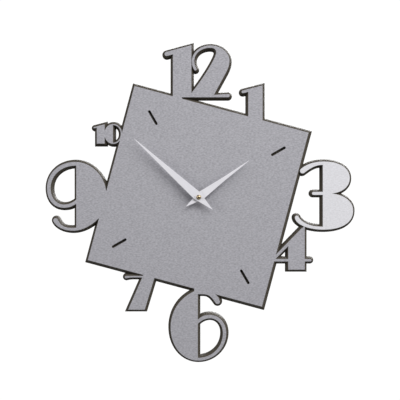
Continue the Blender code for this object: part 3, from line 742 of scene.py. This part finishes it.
def tick_meshes(back, front):
    meshes = []
    for hour in TICK_HOURS:
        angle = radians(30 * hour)
        at = (TICK_RADIUS * sin(angle), TICK_RADIUS * cos(angle))
        loop = turned_points(slot(TICK_LENGTH, TICK_WIDTH), -30 * hour)
        meshes.append(flat_mesh("tick", [loop], back, front, at=at))
    return meshes


def bevelled(width, shift):
    """The settings of a board's outline: a steep bevel with slightly rounded edges."""
    return {"chamfer": width, "slope": CHAMFER_DEPTH / width, "soft": BOARD_SOFT, "at": shift}


def dial():
    # Each board is bevelled on both sides, so it starts deep enough for the lower bevel to be cut off.
    deep = BOARD_FRONT - 2.6 * CHAMFER_DEPTH
    square = bevelled(SQUARE_CHAMFER, BOARD_SHIFT)
    numeral = bevelled(NUMERAL_CHAMFER, NUMERAL_SHIFT)
    all_strokes = GREY_STROKES + PALE_STROKES
    behind = rectangle(-BEYOND, -BEYOND, BEYOND, BEYOND)
    board = solid(
        "board_with_numerals",
        flat_mesh("board", [square_outline()], deep, BOARD_FRONT, **square),
        joins=stroke_meshes(all_strokes, deep, BOARD_FRONT, **numeral),
        cuts=[
            flat_mesh("behind", [behind], deep - 5, BOARD_BACK),
            flat_mesh("pocket", [rounded_rectangle(*POCKET)], BOARD_BACK - 5, POCKET_FLOOR),
            flat_mesh("hole", [circle(DIAL_HOLE)], BOARD_BACK - 5, BOARD_FRONT + 5),
            *tick_meshes(BOARD_FRONT - TICK_DEPTH, BOARD_FRONT + 5),
        ],
    )
    stained = LOOKS["stained_fibreboard"]
    show(board, "clock", stained, ["dial_board"], BOARD_SHARP)

    thickness = (BOARD_FRONT, FACING_FRONT)
    through = (BOARD_FRONT - 2, FACING_FRONT + 2)
    eased = {"chamfer": FACING_EASE, "grow": -FACING_EASE}
    sheet = solid(
        "grey_sheet",
        flat_mesh("sheet", [square_outline()], *thickness, **eased),
        joins=stroke_meshes(GREY_STROKES, *thickness, **eased),
        cuts=[
            flat_mesh("hole", [circle(DIAL_HOLE)], *through),
            *tick_meshes(*through),
            *stroke_meshes(PALE_STROKES, *through, grow=THREE_GAP),
        ],
    )
    show(sheet, "clock", LOOKS["grey_laminate"], ["dial_facing"])
    three = solid(
        "pale_sheet",
        flat_mesh("three", [outline(THREE_LOWER)], *thickness, **eased),
        joins=stroke_meshes([[THREE_UPPER], [THREE_STUB]], *thickness, **eased),
    )
    show(three, "clock", LOOKS["pale_laminate"], ["numeral_three_facing"])


# Hands and fixings.


def hands():
    for name, stations, angle, back, front, bore, body in HANDS:
        loop = turned_points(hand_outline(stations), -angle)
        eased = {"chamfer": HAND_EASE, "grow": -HAND_EASE}
        needle = solid(name, flat_mesh(name, [loop, circle(bore)], back, front, **eased))
        node = name.replace("needle", "hand")
        show(needle, body, LOOKS["silver_hands"], [node], HAND_SHARP)


def dome_profile():
    """The cap nut from its crown to its foot: a dome, a groove, a rounded flange and a bore."""
    height = CAP_CROWN - CAP_SHOULDER
    angles = [pi / 2 * i / DOME_STEPS for i in range(DOME_STEPS + 1)]
    dome = [(DOME_RADIUS * sin(a), CAP_SHOULDER + height * cos(a)) for a in angles]
    groove = [(2.72, 36.98), (2.86, 36.9)]
    flange = [(3.03, 36.84), (3.1, 36.7), (3.1, 36.42), (3.03, 36.28), (2.86, CAP_FOOT)]
    bore = [(1.6, CAP_FOOT), (1.6, 38.0), (0.0, 38.0)]
    return dome + groove + flange + bore


def thread_profile(radius, front, back, bore):
    """A bush with a thread's crests, a chamfered mouth and a flange at its foot."""
    points = [(bore, front), (radius - 0.45, front), (radius - 0.05, front - 0.45)]
    depth = front - THREAD_PITCH
    while depth > back + 1.0:
        points += [(radius - 0.32, depth), (radius, depth - THREAD_PITCH / 2)]
        depth -= THREAD_PITCH
    return points + [(radius, back), (6.0, back), (6.0, 13.4), (bore, 13.4), (bore, front)]


def fixings():
    brass = LOOKS["brass"]
    cap = solid("domed_cap_nut", lathe_mesh("cap", dome_profile()))
    show(cap, "minute_train", brass, ["cap_nut"], TURNED_SHARP)
    bush = solid("threaded_stem", lathe_mesh("bush", thread_profile(3.95, 31.0, 14.5, 2.8)))
    show(bush, "clock", brass, ["threaded_bush"], TURNED_SHARP)
    nut = solid(
        "hexagon_nut",
        flat_mesh("nut", [circle(5.6, 6)], 27.7, 29.9),
        cuts=[flat_mesh("bore", [circle(4.02)], 20, 40)],
        bevel=0.3,
    )
    show(nut, "clock", brass, ["fixing_nut"])
    ring = [circle(5.7), circle(4.15)]
    washer = solid(
        "plain_washer", flat_mesh("washer", ring, 26.7, 27.4, chamfer=0.12, grow=-0.12)
    )
    show(washer, "clock", brass, ["dial_washer"])
    ring = [circle(9.0), circle(4.3)]
    rubber = solid(
        "rubber_ring",
        flat_mesh("rubber", ring, 17.2, 18.6, chamfer=0.3, grow=-0.3, soft=0.3),
    )
    show(rubber, "clock", LOOKS["black_rubber"], ["rubber_washer"])
    boss = [
        (2.65, 34.1), (2.95, 34.1), (3.2, 33.95), (3.2, 32.9), (3.75, 32.8), (3.9, 32.6),
        (3.9, 31.6), (3.75, 31.4), (2.65, 31.4), (2.65, 34.1),
    ]
    collet = solid("hour_hand_boss", lathe_mesh("collet", boss))
    show(collet, "hour_train", brass, ["hour_hand_collet"], TURNED_SHARP)
    ring = [circle(2.9), circle(1.7)]
    collar = solid(
        "minute_hand_ring", flat_mesh("collar", ring, 34.4, 35.2, chamfer=0.1, grow=-0.1)
    )
    show(collar, "minute_train", brass, ["minute_hand_collar"])
    hanger()


def hanger():
    """The plate clamped behind the dial, with the keyhole that drops over a nail."""
    plate = outline(
        [
            (-13.0, -11.0), (-11.0, -13.0, QUARTER), (11.0, -13.0), (13.0, -11.0, QUARTER),
            (13.0, 18.0), (9.0, 40.0), (5.0, 44.0, QUARTER), (-5.0, 44.0), (-9.0, 40.0, QUARTER),
            (-13.0, 18.0),
        ],
        20,
    )
    keyed = solid(
        "hanger",
        flat_mesh("hanger", [plate], 16.3, 17.1),
        cuts=[
            flat_mesh("bore", [circle(4.4)], 10, 20),
            flat_mesh("head", [circle(4.0)], 10, 20, at=(0.0, 31.0)),
            flat_mesh("shank", [slot(10.0, 4.2)], 10, 20, at=(0.0, 35.5)),
        ],
        bevel=0.12,
    )
    show(keyed, "clock", LOOKS["zinc_plated_steel"], ["hanger_plate"])


# Movement.


def clip_meshes(half_width, back, front):
    """Blocks that cut the recesses of the four clips at the top and bottom sides."""
    meshes = []
    for x, side in CLIPS:
        middle = side * CLIP_LINE
        loop = rectangle(x - half_width, middle - 1, x + half_width, middle + 1)
        meshes.append(flat_mesh("clip", [loop], back, front))
    return meshes


def case():
    size = (-CASE_HALF, -CASE_HALF, CASE_HALF, CASE_HALF)
    shell = rounded_rectangle(*size, CASE_CORNER)
    inner = CASE_HALF - CASE_WALL
    hollow = rounded_rectangle(-inner, -inner, inner, inner, CASE_CORNER - CASE_WALL)
    front = solid(
        "movement_shell_front",
        flat_mesh("shell", [shell], CASE_SPLIT + 0.15, CASE_DEPTH),
        cuts=[
            flat_mesh("hollow", [hollow], 2.0, CASE_DEPTH - CASE_WALL),
            flat_mesh("hole", [circle(4.3)], 2.0, CASE_DEPTH + 5),
            *clip_meshes(3.0, 7.0, 11.6),
        ],
        bevel=0.35,
        segments=3,
    )
    show(front, "clock", LOOKS["black_abs"], ["movement_case_front"])

    bay = rounded_rectangle(-26.3, -26.5, 26.3, -12.0, 0.8)
    rim = [circle(7.6, at=SETTING), circle(7.0, at=SETTING)]
    panel = [
        rounded_rectangle(-24.5, -6.0, 2.5, 14.5, 1.5),
        rounded_rectangle(-23.9, -5.4, 1.9, 13.9, 1.2),
    ]
    grooves = [
        rounded_rectangle(-22.0 + 3.0 * i, 17.5, -20.8 + 3.0 * i, 24.0, 0.5) for i in range(6)
    ]
    signs = [
        rectangle(20.6, -9.1, 23.4, -8.3),
        rectangle(21.6, -10.1, 22.4, -7.3),
        rectangle(-23.4, -9.1, -20.6, -8.3),
    ]
    back = solid(
        "movement_shell_back",
        flat_mesh("shell", [shell], 0.0, CASE_SPLIT),
        cuts=[
            flat_mesh("hollow", [hollow], CASE_WALL, CASE_SPLIT + 5),
            flat_mesh("bay", [bay], -2.0, CASE_WALL + 2),
            flat_mesh("knob", [circle(6.4, at=SETTING)], -2.0, CASE_WALL + 2),
            flat_mesh("rim", rim, -1.0, 0.3),
            flat_mesh("panel", panel, -1.0, 0.25),
            *[flat_mesh("groove", [loop], -1.0, ENGRAVED) for loop in grooves],
            *[flat_mesh("sign", [loop], -1.0, ENGRAVED) for loop in signs],
            *clip_meshes(2.6, 5.2, 9.0),
        ],
        bevel=0.22,
    )
    show(back, "clock", LOOKS["black_abs"], ["movement_case_back"])
    rib = solid(
        "battery_bay_wall",
        flat_mesh("rib", [rectangle(-26.7, -11.8, 26.7, -10.8)], CASE_WALL, CASE_SPLIT - 0.2),
        bevel=0.15,
    )
    show(rib, "clock", LOOKS["black_abs"])


def knob():
    """The setting wheel: a knurled rim with a groove for every fourth point, a dish and a slot."""
    teeth = []
    for i in range(KNOB_POINTS):
        angle = 2 * pi * i / KNOB_POINTS
        radius = KNOB_RADIUS - KNURL_DEPTH * (0.5 + 0.5 * cos(2 * pi * i / 4)) ** 0.7
        teeth.append((radius * cos(angle), radius * sin(angle)))
    key = outline(
        [(3.3, -1.1), (3.3, 1.1, 0.35), (-3.3, 1.1, NEARLY_STRAIGHT), (-3.3, -1.1, 0.35)], 12
    )
    grip = solid(
        "setting_wheel",
        flat_mesh("grip", [turned_points(teeth, 0.0, SETTING)], 0.4, 2.8),
        cuts=[
            flat_mesh("dish", [circle(4.6, at=SETTING), circle(1.6, 32, at=SETTING)], -1.0, 0.9),
            flat_mesh("slot", [turned_points(key, 0.0, SETTING)], -1.0, 1.3),
        ],
        bevel=0.12,
    )
    show(grip, "setting", LOOKS["dark_acetal"], ["setting_knob"])


def along_x(mesh, at, depth):
    """Turns a lathe mesh so that its axis lies along X."""
    for vertex in mesh.vertices:
        x, y, z = vertex.co
        vertex.co = (-y + MM * at[0], x - MM * depth, z + MM * at[1])
    mesh.update()
    return mesh


def battery():
    """An AA cell: a sleeve, the cap at its positive end and the base at its negative end."""
    wrap = [
        (4.9, 23.75), (6.55, 23.75), (6.85, 23.6), (7.0, 23.3), (7.0, 0.0), (7.0, -23.4),
        (6.85, -23.75), (6.5, -23.9), (5.2, -23.9), (5.2, -23.7), (6.4, -23.55), (6.75, -23.2),
        (6.75, 23.2), (6.4, 23.5), (4.9, 23.5), (4.9, 23.75),
    ]
    cap = [
        (0.0, 25.2), (2.2, 25.2), (2.6, 25.05), (2.75, 24.7), (2.75, 23.95), (3.3, 23.6),
        (5.2, 23.6), (5.2, 23.3), (0.0, 23.3),
    ]
    base = [
        (0.0, -24.3), (4.3, -24.3), (4.7, -24.2), (4.9, -23.95), (5.6, -23.75), (6.0, -23.4),
        (0.0, -23.4),
    ]
    sleeve_mesh = along_x(lathe_mesh("wrap", wrap), BATTERY, BATTERY_DEPTH)
    wrap_piece = solid("battery_wrap", sleeve_mesh)
    sleeve_look = LOOKS["battery_sleeve"]
    show(wrap_piece, "cell", sleeve_look, ["battery"], BATTERY_SHARP)
    for name, profile in (("battery_cap", cap), ("battery_base", base)):
        mesh = along_x(lathe_mesh(name, profile), BATTERY, BATTERY_DEPTH)
        show(solid(name, mesh), "cell", LOOKS["zinc_plated_steel"], smooth=BATTERY_SHARP)


def contact_spring():
    """The conical spring that presses on the cell's negative end."""
    curve = bpy.data.curves.new("contact_coil", "CURVE")
    curve.dimensions = "3D"
    curve.bevel_depth = MM * 0.3
    curve.bevel_resolution = 3
    curve.use_fill_caps = True
    count, turns = 72, 2.5
    spline = curve.splines.new("POLY")
    spline.points.add(count - 1)
    for i, knot in enumerate(spline.points):
        t = i / (count - 1)
        angle = 2 * pi * turns * t
        radius = 3.6 - 2.2 * t
        knot.co = (
            MM * (-26.0 + 0.5 * t),
            -MM * (BATTERY_DEPTH + radius * cos(angle)),
            MM * (BATTERY[1] + radius * sin(angle)),
            1.0,
        )
    guide = bpy.data.objects.new("coil_guide", curve)
    bpy.context.scene.collection.objects.link(guide)
    mesh = evaluated_mesh(guide)
    bpy.data.objects.remove(guide, do_unlink=True)
    coil = solid("contact_coil", mesh)
    show(coil, "clock", LOOKS["zinc_plated_steel"], smooth=SPRING_SHARP)


# Surroundings.


def area_light(name, place, width, height, power):
    lamp = bpy.data.lights.new(name, "AREA")
    lamp.shape = "RECTANGLE"
    lamp.size = width
    lamp.size_y = height
    lamp.energy = power
    made = bpy.data.objects.new(name, lamp)
    made.location = place
    bpy.context.scene.collection.objects.link(made)
    direction = Vector(LIT_POINT) - made.location
    made.rotation_euler = direction.to_track_quat("-Z", "Y").to_euler()


def surroundings_world():
    """White where the camera sees past the clock, and a faint glow for everything else."""
    world = bpy.data.worlds.new("white_studio")
    bpy.context.scene.world = world
    world.use_nodes = True
    tree = world.node_tree
    glow = tree.nodes["Background"]
    glow.inputs["Color"].default_value = STUDIO_GLOW
    white = tree.nodes.new("ShaderNodeBackground")
    white.inputs["Color"].default_value = BACKDROP
    white.inputs["Strength"].default_value = BACKDROP_STRENGTH
    seen = tree.nodes.new("ShaderNodeLightPath")
    both = tree.nodes.new("ShaderNodeMixShader")
    tree.links.new(seen.outputs["Is Camera Ray"], both.inputs[0])
    tree.links.new(glow.outputs[0], both.inputs[1])
    tree.links.new(white.outputs[0], both.inputs[2])
    tree.links.new(both.outputs[0], tree.nodes["World Output"].inputs["Surface"])


def studio_floor():
    floor_mesh = bpy.data.meshes.new("floor")
    body = bmesh.new()
    bmesh.ops.create_grid(body, x_segments=8, y_segments=8, size=FLOOR_HALF)
    body.to_mesh(floor_mesh)
    body.free()
    floor = bpy.data.objects.new("floor", floor_mesh)
    floor.location = FLOOR_PLACE
    bpy.context.scene.collection.objects.link(floor)
    look = Look("floor_look", 0.7)
    grain = look.noise(30.0, 3.0)
    look.colour(look.mix(look.ranged(grain, 0.0, 1.0), (0.74, 0.74, 0.73), (0.77, 0.77, 0.76)))
    floor_mesh.materials.append(look.material)


def studio():
    scene = bpy.context.scene
    scene.view_settings.view_transform = "Standard"
    surroundings_world()
    studio_floor()
    for row in LIGHTS:
        area_light(*row)

    lens = bpy.data.cameras.new("camera")
    lens.lens = SENSOR * CAMERA_DISTANCE / FRAMED_WIDTH
    lens.sensor_width = SENSOR
    camera = bpy.data.objects.new("camera", lens)
    camera.location = CAMERA_PLACE
    camera.rotation_euler = X_TO_FRONT
    scene.collection.objects.link(camera)
    scene.camera = camera


dress_cad_nodes()
dial()
hands()
fixings()
case()
knob()
battery()
contact_spring()
studio()
